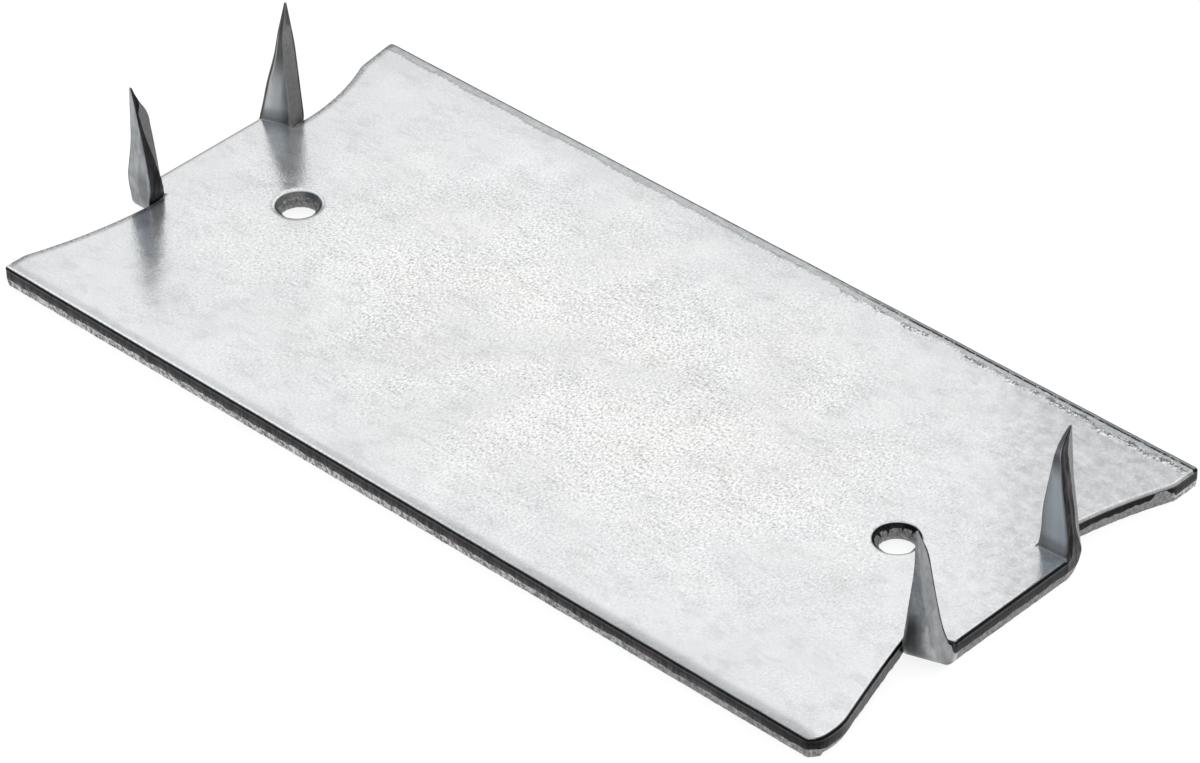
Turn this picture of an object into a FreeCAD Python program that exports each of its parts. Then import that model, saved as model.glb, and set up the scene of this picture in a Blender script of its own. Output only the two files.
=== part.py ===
# Nail protector plate: one piece of galvanised steel sheet, pierced for two nails, with four prongs
# lanced out of its ends and folded up. Millimetres. X runs along the plate, Y across it and Z up.
# The origin is the middle of the underside, on which the plate lies with its prongs pointing up.
import FreeCAD, Part
import math
import os

# Sheet
plate_length = 76.2
plate_width = 38.1
sheet = 1.6

# Sheared edges: the rounding of the upper edge, the height of the torn part below the smooth part of
# the cut, and how far the tear leans in under the long sides, under the lance cuts, under the end
# between the folds and on the prongs
rollover = 0.2
torn_height = 0.65
side_tear = 0.1
lance_tear = 0.25
end_tear = 0.08
prong_tear = 0.35

# Nail holes on the long centre line, pierced from above: a drawn-in mouth, a short bore, and the
# cone that broke out below the bore
hole_from_end = 9.9
hole_bore_r = 1.2
hole_mouth_r = 1.75
hole_mouth_depth = 0.35
hole_bore_length = 0.5
hole_breakout_r = 1.95

# Folds: the radius inside the fold, and the slit that the lance leaves past the prong
fold_inner_r = 0.15
slit = 0.3

# All prongs: their rise above the upper face, how much thinner than the sheet they are, the rise of
# the neck where they draw in above the fold, and the flat left on the point
prong_rise = 9.5
prong_thinning = 0.25
neck_rise = 0.7
tip_flat = 0.14

# Narrow prongs, at the front left and back right corners: the fold's distance from the middle and its
# skew to the X axis in degrees, and the shoulder's height
narrow_fold = 5.5
narrow_skew = 2.0
narrow_shoulder_height = 6.0

# Wide prongs, at the back left and front right corners, with the same sizes
wide_fold = 5.45
wide_skew = 19.0
wide_shoulder_height = 8.0

# Each prong's own width at the fold, how far its end edge lies in from the fold's end at the neck and
# at the shoulder, how far its lance edge lies in at the shoulder and its point does, and the length and
# the hollow of the bevel that thins its inner side to the point (a negative hollow swells)
front_left_root = 2.5
front_left_neck_in = -0.35
front_left_shoulder_in = 0.25
front_left_shoulder = 1.95
front_left_point_in = 1.0
front_left_bevel = 2.4
front_left_hollow = 0.25
back_left_root = 2.9
back_left_neck_in = 0.1
back_left_shoulder_in = 1.6
back_left_shoulder = 2.5
back_left_point_in = 1.95
back_left_bevel = 2.4
back_left_hollow = 0.05
back_right_root = 2.7
back_right_neck_in = 0.05
back_right_shoulder_in = 0.5
back_right_shoulder = 2.55
back_right_point_in = 1.4
back_right_bevel = 1.3
back_right_hollow = -0.15
front_right_root = 3.1
front_right_neck_in = 0.45
front_right_shoulder_in = 1.75
front_right_shoulder = 2.35
front_right_point_in = 2.2
front_right_bevel = 2.4
front_right_hollow = 0.05

# Corners and their lance cuts: the rounding of the corner, where the cut leaves the end, measured from
# the long side, how far the end is set back there, and the bow of the cut's arc
front_left_corner = 0.26
front_left_cut_start = 1.9
front_left_set_back = 0.0
front_left_cut_bow = 0.4
back_left_corner = 0.26
back_left_cut_start = 3.75
back_left_set_back = 0.6
back_left_cut_bow = 0.5
back_right_corner = 0.26
back_right_cut_start = 2.6
back_right_set_back = 0.0
back_right_cut_bow = 0.42
front_right_corner = 0.6
front_right_cut_start = 2.8
front_right_set_back = 0.0
front_right_cut_bow = 0.06

# Largest shares of a prong's width and thickness that a rolled or torn edge takes near the point
width_share = 0.25
torn_share = 0.45
rolled_share = 0.2

half_length = plate_length / 2
half_width = plate_width / 2
fold_outer_r = fold_inner_r + sheet
tip_height = sheet + prong_rise
up = FreeCAD.Vector(0, 0, 1)


class Prong:
    """One prong's sizes and frame: u along the fold from the end inwards, v outwards to the corner, w up."""

    def __init__(self, side_x, side_y, kind, own, cut):
        self.side_x = side_x
        self.side_y = side_y
        fold, skew, self.shoulder_height = kind
        self.root, self.neck_in, self.shoulder_in, self.shoulder, self.point_in = own[:5]
        self.bevel, self.hollow = own[5:]
        self.corner, self.cut_start, self.set_back, self.cut_bow = cut
        self.skew = math.radians(skew)
        self.along = FreeCAD.Vector(math.cos(self.skew), math.sin(self.skew), 0) * -side_x
        self.outward = FreeCAD.Vector(-math.sin(self.skew), math.cos(self.skew), 0) * side_y
        self.fold_end = FreeCAD.Vector(side_x * half_length, side_y * fold, 0)

    def at(self, u, v, w):
        """A point in the prong's own frame."""
        return self.fold_end + self.along * u + self.outward * v + up * w

    def on_plate(self, from_side, from_end):
        """A point of the blank's outline, by its distances from the long side and the end."""
        x = self.side_x * (half_length - from_end)
        y = self.side_y * (half_width - from_side)
        return FreeCAD.Vector(x, y, 0)


def line(start, end):
    return Part.LineSegment(start, end).toShape()


def arc(start, middle, end):
    return Part.Arc(start, middle, end).toShape()


def quarter_ellipse(start, end, centre):
    """The quarter of an ellipse from one of its axes to the other, the longer one at the start."""
    ellipse = Part.Ellipse(start, end, centre)
    return Part.ArcOfEllipse(ellipse, 0, math.pi / 2).toShape()


def between(first, last, share):
    return first + (last - first) * share


def bowed(start, end, bow, towards):
    """An arc from start to end whose middle stands off the chord by bow, on the side of a direction."""
    chord = end - start
    normal = FreeCAD.Vector(-chord.y, chord.x, 0).normalize()
    if normal.dot(towards) < 0:
        normal = normal * -1
    return arc(start, between(start, end, 0.5) + normal * bow, end)


def closed_wire(edges):
    return Part.Wire(Part.__sortEdges__(edges))


def corner_arc(prong, side_in, lance_in):
    """The start, middle and end of the rounded corner between the long side and the end."""
    corner = prong.on_plate(side_in, lance_in)
    along_side = (prong.on_plate(side_in, half_length) - corner).normalize()
    along_end = (prong.on_plate(prong.cut_start, prong.set_back + lance_in) - corner).normalize()
    half_angle = along_side.getAngle(along_end) / 2
    reach = prong.corner / math.tan(half_angle)
    bisector = (along_side + along_end).normalize()
    middle = corner + bisector * (prong.corner / math.sin(half_angle) - prong.corner)
    return corner + along_side * reach, middle, corner + along_end * reach


def corner_edges(prong, side_in, lance_in, end_in):
    """The blank's outline from the long side round its corner, along the lance cut and along the fold."""
    round_start, round_middle, round_end = corner_arc(prong, side_in, lance_in)
    cut_start = prong.on_plate(prong.cut_start, prong.set_back + lance_in)
    slit_end = prong.at(prong.root + slit + lance_in, 0, 0)
    inwards = FreeCAD.Vector(-prong.side_x, 0, 0)
    return [
        arc(round_start, round_middle, round_end),
        line(round_end, cut_start),
        bowed(cut_start, slit_end, prong.cut_bow, inwards),
        line(slit_end, prong.at(end_in, 0, 0)),
    ]


def outline(prongs, height, side_in, lance_in, end_in):
    """The blank's outline at a height, set in from the long sides, the lance cuts and the ends."""
    front_left, back_left, back_right, front_right = prongs
    edges = []
    for prong in prongs:
        edges += corner_edges(prong, side_in, lance_in, end_in)
    for first, second in [(front_left, back_left), (back_right, front_right)]:
        edges.append(line(first.at(end_in, 0, 0), second.at(end_in, 0, 0)))
    for first, second in [(back_left, back_right), (front_right, front_left)]:
        edges.append(line(corner_arc(first, side_in, lance_in)[0], corner_arc(second, side_in, lance_in)[0]))
    wire = closed_wire(edges)
    wire.translate(up * height)
    return wire


def is_fold(edge, prongs):
    """True for the top edges that the prongs fold up from."""
    for prong in prongs:
        fold_middle = prong.at((prong.root + slit) / 2, 0, sheet)
        if edge.CenterOfMass.distanceToPoint(fold_middle) < rollover:
            return True
    return False


def blank(prongs):
    """The flat sheet: a smooth cut with its upper edge rolled over, above a tear that leans in."""
    torn_line = outline(prongs, torn_height, 0, 0, 0)
    smooth = Part.Face(torn_line).extrude(up * (sheet - torn_height))
    top_edges = [e for e in smooth.Edges if e.BoundBox.ZMin > sheet - rollover and not is_fold(e, prongs)]
    top_edges.sort(key=lambda edge: edge.Length, reverse=True)
    smooth = smooth.makeFillet(rollover, top_edges)
    torn = Part.makeLoft([outline(prongs, 0, side_tear, lance_tear, end_tear), torn_line], True, True)
    return smooth.fuse(torn)


def section(prong, height, end, lance, inner, full_tear):
    """A prong's cross-section between its end edge and its lance edge, from its inner to its outer face.

    The end edge is rolled over on the inner face and torn on the outer one, the lance edge torn on the
    inner face."""
    width = lance - end
    thickness = fold_outer_r - inner
    tear = min(full_tear, width * width_share)
    torn = min(torn_height, thickness * torn_share)
    roll = min(rollover, width * rolled_share, thickness * rolled_share)
    roll_along = roll / math.cos(prong.skew)
    roll_end = prong.at(end, inner + roll, height)
    corners = [
        roll_end,
        prong.at(end, fold_outer_r - torn, height),
        prong.at(end + tear, fold_outer_r, height),
        prong.at(lance, fold_outer_r, height),
        prong.at(lance, inner + torn, height),
        prong.at(lance - tear, inner, height),
        prong.at(end + roll_along, inner, height),
    ]
    edges = [line(a, b) for a, b in zip(corners, corners[1:])]
    edges.append(quarter_ellipse(roll_end, corners[-1], prong.at(end + roll_along, inner + roll, height)))
    return closed_wire(edges)


def fold_section(prong):
    return section(prong, fold_outer_r, 0, prong.root, fold_inner_r, end_tear)


def upright(prong):
    """The prong above its fold: a neck, a shoulder, and a bevel that ends in the point."""
    inner = fold_inner_r + prong_thinning
    tip_inner = fold_outer_r - tip_flat
    neck_height = fold_outer_r + neck_rise
    neck_lance = between(prong.root, prong.shoulder, neck_rise / (prong.shoulder_height - fold_outer_r))
    bevel_height = tip_height - prong.bevel
    bevel_share = (bevel_height - prong.shoulder_height) / (tip_height - prong.shoulder_height)
    tip_end = prong.point_in - tip_flat / 2
    tip_lance = prong.point_in + tip_flat / 2
    bevel_end = between(prong.shoulder_in, tip_end, bevel_share)
    bevel_lance = between(prong.shoulder, tip_lance, bevel_share)
    hollow_height = between(bevel_height, tip_height, 0.5)
    hollow_end = between(bevel_end, tip_end, 0.5)
    hollow_lance = between(bevel_lance, tip_lance, 0.5)
    hollow_inner = between(inner, tip_inner, 0.5) + prong.hollow
    return Part.makeLoft([
        fold_section(prong),
        section(prong, neck_height, prong.neck_in, neck_lance, inner, prong_tear),
        section(prong, prong.shoulder_height, prong.shoulder_in, prong.shoulder, inner, prong_tear),
        section(prong, bevel_height, bevel_end, bevel_lance, inner, prong_tear),
        section(prong, hollow_height, hollow_end, hollow_lance, hollow_inner, prong_tear),
        section(prong, tip_height, tip_end, tip_lance, tip_inner, prong_tear),
    ], True, True)


def fold(prong):
    """The quarter turn from the plate up to the prong."""
    axis = prong.outward.cross(up * -1)
    return Part.Face(fold_section(prong)).revolve(prong.at(0, 0, fold_outer_r), axis, 90)


def nail_hole(side_x):
    """The space of one pierced hole, turned about its axis."""
    mouth_bottom = sheet - hole_mouth_depth
    bore_bottom = mouth_bottom - hole_bore_length
    points = [
        FreeCAD.Vector(0, 0, 0),
        FreeCAD.Vector(hole_breakout_r, 0, 0),
        FreeCAD.Vector(hole_bore_r, 0, bore_bottom),
        FreeCAD.Vector(hole_bore_r, 0, mouth_bottom),
        FreeCAD.Vector(hole_mouth_r, 0, sheet),
        FreeCAD.Vector(0, 0, sheet),
    ]
    edges = [line(a, b) for a, b in zip(points, points[1:] + points[:1])]
    space = Part.Face(Part.Wire(edges)).revolve(FreeCAD.Vector(0, 0, 0), up, 360)
    space.translate(FreeCAD.Vector(side_x * (half_length - hole_from_end), 0, 0))
    return space


def protector_plate():
    narrow = (narrow_fold, narrow_skew, narrow_shoulder_height)
    wide = (wide_fold, wide_skew, wide_shoulder_height)
    front_left = (front_left_root, front_left_neck_in, front_left_shoulder_in, front_left_shoulder,
                  front_left_point_in, front_left_bevel, front_left_hollow)
    back_left = (back_left_root, back_left_neck_in, back_left_shoulder_in, back_left_shoulder,
                 back_left_point_in, back_left_bevel, back_left_hollow)
    back_right = (back_right_root, back_right_neck_in, back_right_shoulder_in, back_right_shoulder,
                  back_right_point_in, back_right_bevel, back_right_hollow)
    front_right = (front_right_root, front_right_neck_in, front_right_shoulder_in, front_right_shoulder,
                   front_right_point_in, front_right_bevel, front_right_hollow)
    front_left_cut = (front_left_corner, front_left_cut_start, front_left_set_back, front_left_cut_bow)
    back_left_cut = (back_left_corner, back_left_cut_start, back_left_set_back, back_left_cut_bow)
    back_right_cut = (back_right_corner, back_right_cut_start, back_right_set_back, back_right_cut_bow)
    front_right_cut = (front_right_corner, front_right_cut_start, front_right_set_back, front_right_cut_bow)
    prongs = [
        Prong(-1, -1, narrow, front_left, front_left_cut),
        Prong(-1, 1, wide, back_left, back_left_cut),
        Prong(1, 1, narrow, back_right, back_right_cut),
        Prong(1, -1, wide, front_right, front_right_cut),
    ]
    pieces = [fold(prong) for prong in prongs] + [upright(prong) for prong in prongs]
    plate = blank(prongs).fuse(pieces).removeSplitter()
    return plate.cut([nail_hole(-1), nail_hole(1)])


os.makedirs("parts", exist_ok=True)
plate = protector_plate()
plate.exportStep("parts/protector_plate.step")
print("solids", len(plate.Solids), "valid", plate.isValid(), "volume", round(plate.Volume, 3), plate.BoundBox)
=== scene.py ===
# Looks of the nail protector plate: a fine mesh of the folded sheet, its galvanised finish, and a plain
# studio. Lengths are millimetres until the mesh is made. X runs along the plate, Y across it and Z up.
import math

import bmesh
import bpy
from mathutils import Matrix, Vector, geometry, kdtree, noise


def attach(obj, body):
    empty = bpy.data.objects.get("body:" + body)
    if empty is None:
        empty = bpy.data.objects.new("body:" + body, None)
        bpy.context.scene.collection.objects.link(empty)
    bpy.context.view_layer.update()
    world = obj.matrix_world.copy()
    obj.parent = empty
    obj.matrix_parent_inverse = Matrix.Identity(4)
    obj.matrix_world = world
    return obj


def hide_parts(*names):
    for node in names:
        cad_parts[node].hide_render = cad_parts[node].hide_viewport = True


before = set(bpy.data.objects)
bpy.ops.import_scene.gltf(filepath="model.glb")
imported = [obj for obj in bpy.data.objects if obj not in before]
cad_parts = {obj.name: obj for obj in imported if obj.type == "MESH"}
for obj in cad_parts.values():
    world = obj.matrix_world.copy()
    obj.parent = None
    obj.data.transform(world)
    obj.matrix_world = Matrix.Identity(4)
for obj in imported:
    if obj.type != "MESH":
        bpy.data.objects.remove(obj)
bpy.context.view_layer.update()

METRE = 0.001

# Sheet, as in the solid
plate_length = 76.2
plate_width = 38.1
sheet = 1.6
rollover = 0.2
torn_height = 0.65
side_tear = 0.1
lance_tear = 0.25
end_tear = 0.08
prong_tear = 0.35

# Nail holes: the mouth is a profile of depths and radii, and the dark band below it ends in teeth
hole_from_end = 9.9
hole_bore_r = 1.2
hole_breakout_r = 1.95
hole_tear_depth = 0.65
hole_mouth = (
    (0.0, 2.3), (0.002, 2.1), (0.008, 1.95), (0.02, 1.84), (0.04, 1.76), (0.07, 1.7), (0.11, 1.655),
    (0.16, 1.61), (0.22, 1.55), (0.3, 1.46), (0.38, 1.36), (0.45, 1.27), (0.54, hole_bore_r),
    (hole_tear_depth, hole_bore_r))
hole_band_top = 0.1
hole_band_line = 0.34
hole_line_wave = 0.14
hole_teeth = 0.4
hole_tooth_gap = 0.1
left_hole_burnish = 0.8
right_hole_burnish = 1.0

# Folds and prongs
fold_inner_r = 0.15
slit = 0.05
prong_rise = 9.5
prong_thinning = 0.25
tip_flat = 0.14
prong_softness = 0.7
prong_roll = 0.3
lance_corner = 0.06
belly_place = 0.4

# What most prongs have: outline, the plate's corner beside them, bands of their edges, finish and painted
# shade
usual_prong = dict(
    fold_in=0.0, belly=0.0, bevel=2.4, corner=0.26, set_back=0.0, slit_out=0.0, soften=2, strip=0.3,
    stub_torn=0.65, stub_lean=0.25, cut_torn=0.65, bend_torn=0.5, end_torn=0.5, end_finish=1.0,
    lance_torn_low=0.5, lance_torn_high=0.5, lance_lean=0.3, prong_shade=0.0, inner_shade=0.3, shade_from=2.8,
    shade_to=7.6, ridge=0.0)

half_length = plate_length / 2
half_width = plate_width / 2
fold_outer_r = fold_inner_r + sheet
tip_height = sheet + prong_rise

# Bands of the prongs' edges: leans at the fold, and how the bands change above it and run out at the tip
fold_tear_share = 0.8
slit_lean = 0.03
bend_blend = 2.0
tip_taper = 2.0
tip_band_from = 2.2
tip_band_to = 1.0
tip_torn = 0.05

# Limits of those bands, as shares of a prong's width or thickness
roll_of_width = 0.2
roll_of_thickness = 0.25
lean_of_width = 0.25
torn_of_thickness = 0.85
corner_of_size = 0.1

# Mesh: steps, strips and rings, and the grids of the flat faces with how far they stay from the edges
edge_step = 0.2
roll_strips = 4
smooth_strips = 5
torn_strips = 4
face_strips = 10
bend_steps = 12
rise_step = 0.2
column_size = roll_strips + smooth_strips + torn_strips + 2
band_gap = 0.02
painted_light_rows = 1
rows_in_strip = (0.12, 0.2, 0.31, 0.43, 0.56, 0.7, 0.86, 1.04, 1.25, 1.5)
hole_columns = 160
hole_zinc_rings = 6
hole_smooth_rings = 7
hole_torn_rings = 15
upper_grid = (0.9, 0.8)
lower_grid = (3.0, 2.6)
strip_clear = 0.1
upper_clear = 1.9
lower_clear = 1.0
merge_gap = 1e-7
sharp_angle = 40

# Roughness of the sheared edges
tear_rough = 0.05
tear_line_wave = 0.16
tear_bias = 0.4
burnish_wave = 0.012
burnish_rough = 0.2
hole_tear_bias = 0.3

# Where the tear climbs up the cut by the back right corner: its middle, its rise, and where it fades
breakout_x = 37.6
breakout_y = 15.6
breakout_rise = 0.62
breakout_fade = (0.35, 0.75)

# The upper face falls in strips along its edges: widths, slopes, most drop, and corner points left out
far_strip_width = 0.95
far_strip_growth = 0.15
far_strip_grows = (-5, 36)
far_strip_slopes = (0.04, 0.1)
near_strip_width = 0.35
near_strip_growth = 0.4
near_strip_grows = (-30, 36)
near_strip_slopes = (0.0, 0.3)
cut_strip_slopes = (0.0, 0.3)
most_drop = 0.16
route_skips = 6

# How far from a slit's end the rollover grows to its full size
slit_fade = (-0.25, 1.0)

# Places on the edge: the reach of a long side, and how far across the lance cuts start
side_reach = 0.5
cuts_from = 6.5

# Share of the rollover that the dark smooth band covers, and how softly it starts
far_burnish = 0.85
near_burnish = 0.62
left_burnish = 0.6
right_burnish = 0.85
back_right_burnish = 0.12
fold_burnish = 0.7
prong_burnish = 1.0
burnish_fade = 0.15

# Painted highlight on the zinc where it bends over an edge, and painted shade where it is below 0
near_highlight_fade = (-15, 20)
right_highlight = 0.5
left_end_shade = -0.45
left_cut_shade = -0.7

# Painted shade on the zinc beside the left end's lance cuts: how much, and where it fades
cut_shade = 0.75
cut_shade_reach = (0.3, 0.75)


def smoothstep(low, high, value):
    share = min(max((value - low) / (high - low), 0), 1)
    return share * share * (3 - 2 * share)


def mix(first, last, share):
    return first + (last - first) * share


def wave(x, y, z, seed):
    return noise.noise(Vector((x + seed * 31.7, y - seed * 17.3, z + seed * 7.9)))


class Prong:
    """One prong's sizes and frame: u along the fold from the end inwards, v outwards to the corner, w up."""

    def __init__(self, side_x, side_y, skew, **sizes):
        self.side_x = side_x
        self.side_y = side_y
        for name, value in (usual_prong | sizes).items():
            setattr(self, name, value)
        self.skew = math.radians(skew)
        self.along = Vector((math.cos(self.skew), math.sin(self.skew), 0)) * -side_x
        self.outward = Vector((-math.sin(self.skew), math.cos(self.skew), 0)) * side_y
        self.fold_end = Vector((side_x * half_length, side_y * self.fold, 0))

    def at(self, u, v, w):
        return self.fold_end + self.along * u + self.outward * v + Vector((0, 0, w))

    def on_plate(self, from_side, from_end):
        return Vector((self.side_x * (half_length - from_end), self.side_y * (half_width - from_side), 0))

    def slit_end(self):
        return self.at(self.fold_root + slit, self.slit_out, 0)

    def keys(self):
        """Heights of the prong's sections, each with its end edge, its lance edge and its inner face."""
        inner = fold_inner_r + prong_thinning
        tip_inner = fold_outer_r - tip_flat
        neck = fold_outer_r + self.neck_rise
        neck_lance = mix(self.root, self.shoulder, self.neck_rise / (self.shoulder_height - fold_outer_r))
        bevel_height = tip_height - self.bevel
        share = (bevel_height - self.shoulder_height) / (tip_height - self.shoulder_height)
        tip_end = self.point_in - tip_flat / 2
        tip_lance = self.point_in + tip_flat / 2
        bevel_end = mix(self.shoulder_in, tip_end, share)
        bevel_lance = mix(self.shoulder, tip_lance, share)
        return [
            (fold_outer_r, self.fold_in, self.fold_root, fold_inner_r),
            (neck, self.neck_in, neck_lance, inner),
            (mix(neck, self.shoulder_height, belly_place),
             mix(self.neck_in, self.shoulder_in, belly_place) - self.belly,
             mix(neck_lance, self.shoulder, belly_place), inner),
            (self.shoulder_height, self.shoulder_in, self.shoulder, inner),
            (bevel_height, bevel_end, bevel_lance, inner),
            (mix(bevel_height, tip_height, 0.5), mix(bevel_end, tip_end, 0.5),
             mix(bevel_lance, tip_lance, 0.5), mix(inner, tip_inner, 0.5) + self.hollow),
            (tip_height, tip_end, tip_lance, tip_inner),
        ]

    def straight_sizes(self, height):
        """The end edge, lance edge and inner face at a height, on straight lines between the sections."""
        keys = self.keys()
        for low, high in zip(keys, keys[1:]):
            if height <= high[0]:
                share = (height - low[0]) / (high[0] - low[0])
                return [mix(a, b, share) for a, b in zip(low[1:], high[1:])]
        return keys[-1][1:]

    def sizes(self, height):
        """The same with the corners of those lines rounded."""
        reach = min(prong_softness, height - fold_outer_r, tip_height - height)
        samples = [self.straight_sizes(height + reach * step) for step in (-1, -0.5, 0, 0.5, 1)]
        return [sum(values) / len(values) for values in zip(*samples)]


# The four prongs, each with what sets it apart
front_left = Prong(
    -1, -1, 2.0, fold=5.5, fold_root=2.05, root=2.5, neck_rise=1.3, neck_in=-0.35, shoulder_height=6.0,
    shoulder_in=0.25, shoulder=1.95, point_in=1.0, hollow=0.25, cut_start=1.9, cut_bow=0.4, slit_out=0.9,
    lance_torn_low=0.05, lance_torn_high=0.74, prong_shade=0.45)
back_left = Prong(
    -1, 1, 19.0, fold=5.45, fold_root=2.9, root=2.9, neck_rise=0.7, neck_in=0.1, belly=0.1,
    shoulder_height=8.0, shoulder_in=1.6, shoulder=2.5, point_in=1.95, hollow=0.05, cut_start=3.75,
    set_back=0.6, cut_bow=0.5, slit_out=0.8, strip=0.4, lance_torn_low=0.92, lance_torn_high=0.92,
    inner_shade=0.85, ridge=0.8)
back_right = Prong(
    1, 1, 2.0, fold=5.5, fold_root=2.65, root=2.65, neck_rise=0.7, neck_in=0.05, shoulder_height=4.6,
    shoulder_in=0.33, shoulder=2.58, point_in=1.4, bevel=1.3, hollow=-0.15, cut_start=2.6, cut_bow=0.42,
    soften=3, stub_torn=0.6, stub_lean=0.15, cut_torn=0.85, bend_torn=0.2, end_finish=0.8, lance_lean=0.08,
    inner_shade=0.75, shade_from=7.0, shade_to=9.2, ridge=0.3)
front_right = Prong(
    1, -1, 19.0, fold=5.45, fold_root=3.1, root=3.1, fold_in=0.45, neck_rise=1.2, neck_in=0.75,
    shoulder_height=8.0, shoulder_in=1.75, shoulder=2.35, point_in=2.2, hollow=0.05, corner=1.0,
    cut_start=2.8, cut_bow=0.06, soften=14, strip=0.7, stub_torn=0.55, cut_torn=0.5, bend_torn=0.8,
    end_torn=0.8, end_finish=0.35, prong_shade=1.0)


class Skin:
    """The mesh being made: its points and faces, and the shares at each point that the finish, with its
    painted light and shade, goes by.
    """

    layers = ("smooth_cut", "torn_cut", "prong", "prong_inner", "prong_shade", "far_strip", "painted_edge_light")

    def __init__(self):
        self.points = []
        self.faces = []
        self.finish = {name: [] for name in self.layers}

    def add(self, point, smooth=0.0, torn=0.0, prong=0.0, inner=0.0, prong_shade=0.0, painted_light=0.0):
        self.points.append(Vector(point))
        strip, _ = far_strip(point[0], point[1])
        for values, share in zip(self.finish.values(), (smooth, torn, prong, inner, prong_shade, strip, painted_light)):
            values.append(share)
        return len(self.points) - 1

    def bridge(self, first, second, closed=False):
        """Faces between two rows of points."""
        count = len(first) if closed else len(first) - 1
        for i in range(count):
            j = (i + 1) % len(first)
            self.faces.append((first[i], first[j], second[j], second[i]))


skin = Skin()
cut_routes = {}


def far_strip(x, y):
    """How far a place lies inside the strip along the far side, and the strip's width there."""
    wander = 1 + 0.22 * wave(x * 0.35, 0, 0, 1) + 0.1 * wave(x * 1.7, 0, 0, 2)
    width = (far_strip_width + far_strip_growth * smoothstep(*far_strip_grows, x)) * wander
    return width - (half_width - y), width


def strip_drop(inside_by, width, slopes):
    """The fall of a strip whose slope grows from its inner line to the edge."""
    inside_by = max(inside_by, 0)
    return slopes[0] * inside_by + (slopes[1] - slopes[0]) * inside_by ** 2 / (2 * width)


def upper_face(x, y):
    """The height of the upper face, which falls away a little along its edges."""
    drop = strip_drop(*far_strip(x, y), far_strip_slopes)
    near_width = near_strip_width + near_strip_growth * smoothstep(*near_strip_grows, x)
    near_width *= 1 + 0.25 * wave(x * 0.5, 0, 0, 3)
    drop += strip_drop(near_width - (y + half_width), near_width, near_strip_slopes)
    for prong, route in cut_routes.items():
        if (x > 0) == (prong.side_x > 0) and (y > 0) == (prong.side_y > 0):
            away = min(math.hypot(x - p.x, y - p.y) for p in route)
            drop += strip_drop(prong.strip - away, prong.strip, cut_strip_slopes)
    return sheet - min(drop, most_drop)


def level(x, y):
    """The lower face's height, and its painted light, anywhere on it."""
    return 0.0


def column_masks(burnish):
    """Smooth and torn shares down a sheared edge, from the upper face to the lower one.

    The burnish is the share of the rollover that the smooth band covers."""
    start = 1 - burnish
    turns = [i / roll_strips for i in range(roll_strips + 1)]
    rolled = [smoothstep(start - burnish_fade, start + burnish_fade, turn) for turn in turns]
    smooth = rolled + [1.0] * smooth_strips + [0.0] * (torn_strips + 1)
    torn = [0.0] * (roll_strips + 1 + smooth_strips) + [1.0] * (torn_strips + 1)
    return smooth, torn


def slit_share(x, y):
    """How much of the rollover is left near the slits beside the folds."""
    away = min((prong.slit_end() - Vector((x, y, 0))).length for prong in cut_routes)
    return smoothstep(*slit_fade, away)


def edge_burnish(x, y):
    """How much of the rollover the smooth band covers at a place on the edge."""
    if y > half_width - side_reach:
        return far_burnish
    if y < side_reach - half_width:
        return near_burnish
    if x < 0:
        return left_burnish
    return back_right_burnish if y > cuts_from else right_burnish


def painted_edge_light(x, y):
    """How much painted highlight the zinc gets where it bends over the edge; below 0 it gets painted shade.
    """
    if y > half_width - side_reach:
        return 0.0
    if y < side_reach - half_width:
        return 1 - smoothstep(*near_highlight_fade, x)
    if x > 0:
        return right_highlight
    return left_end_shade if abs(y) < cuts_from else left_cut_shade


def cut_painted_shade(x, y):
    """The painted shade on the zinc beside the lance cuts of the left end, as a painted light below 0."""
    route = [p for prong, points in cut_routes.items() if prong.side_x < 0 for p in points]
    away = min(math.hypot(x - p.x, y - p.y) for p in route)
    return -cut_shade * (1 - smoothstep(*cut_shade_reach, away))


def sheared(top, torn_top, roll_size):
    """Shares of the rollover's width, heights and torn depths down a sheared edge."""
    rows = []
    for i in range(roll_strips + 1):
        turn = math.pi / 2 * i / roll_strips
        rows.append((1 - math.sin(turn), top - roll_size * (1 - math.cos(turn)), 0.0))
    for i in range(smooth_strips):
        share = i / (smooth_strips - 1)
        rows.append((0.0, mix(top - roll_size - band_gap, torn_top + band_gap, share), 0.0))
    for i in range(torn_strips + 1):
        share = i / torn_strips
        rows.append((0.0, mix(torn_top - band_gap, 0, share), share))
    return rows


def breakout(x, y):
    """How far the tear climbs up the lance cut near the back right corner."""
    away = math.hypot(x - breakout_x, y - breakout_y)
    return breakout_rise * (1 - smoothstep(*breakout_fade, away))


def plate_column(point, inward, lean, torn_share):
    """Points down one place of the plate's sheared edge."""
    x, y = point.x, point.y
    roll_size = rollover * slit_share(x, y)
    top_point = point + inward * roll_size
    top = upper_face(top_point.x, top_point.y)
    line = torn_share * (1 + tear_line_wave * wave(x * 1.1, y * 1.1, 0, 4)
                         + 0.6 * tear_line_wave * wave(x * 4.3, y * 4.3, 0, 5))
    line = min(line + breakout(x, y), top - roll_size - 3 * band_gap)
    smooth, torn = column_masks(edge_burnish(x, y))
    column = []
    for row, (roll, height, depth) in enumerate(sheared(top, line, roll_size)):
        offset = roll * roll_size + lean * depth
        if row > roll_strips and not torn[row]:
            offset += burnish_wave * (1 + wave(x * 2.5, y * 2.5, height * 0.3, 6))
        if torn[row] > 0:
            rough = 0.5 + 0.5 * wave(x * 2.6, y * 2.6, height * 1.6, 7)
            rough += 0.4 * wave(x * 6, y * 6, height * 4, 8)
            offset += tear_rough * max(rough, 0) * (1 if 0 < depth else 0.5)
        place = point + inward * offset
        # The top rows carry the painted highlight or painted shade of the zinc bending over the edge
        painted_light = painted_edge_light(x, y) if row <= painted_light_rows else 0.0
        column.append(skin.add((place.x, place.y, height), smooth[row], torn[row], painted_light=painted_light))
    return column


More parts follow.
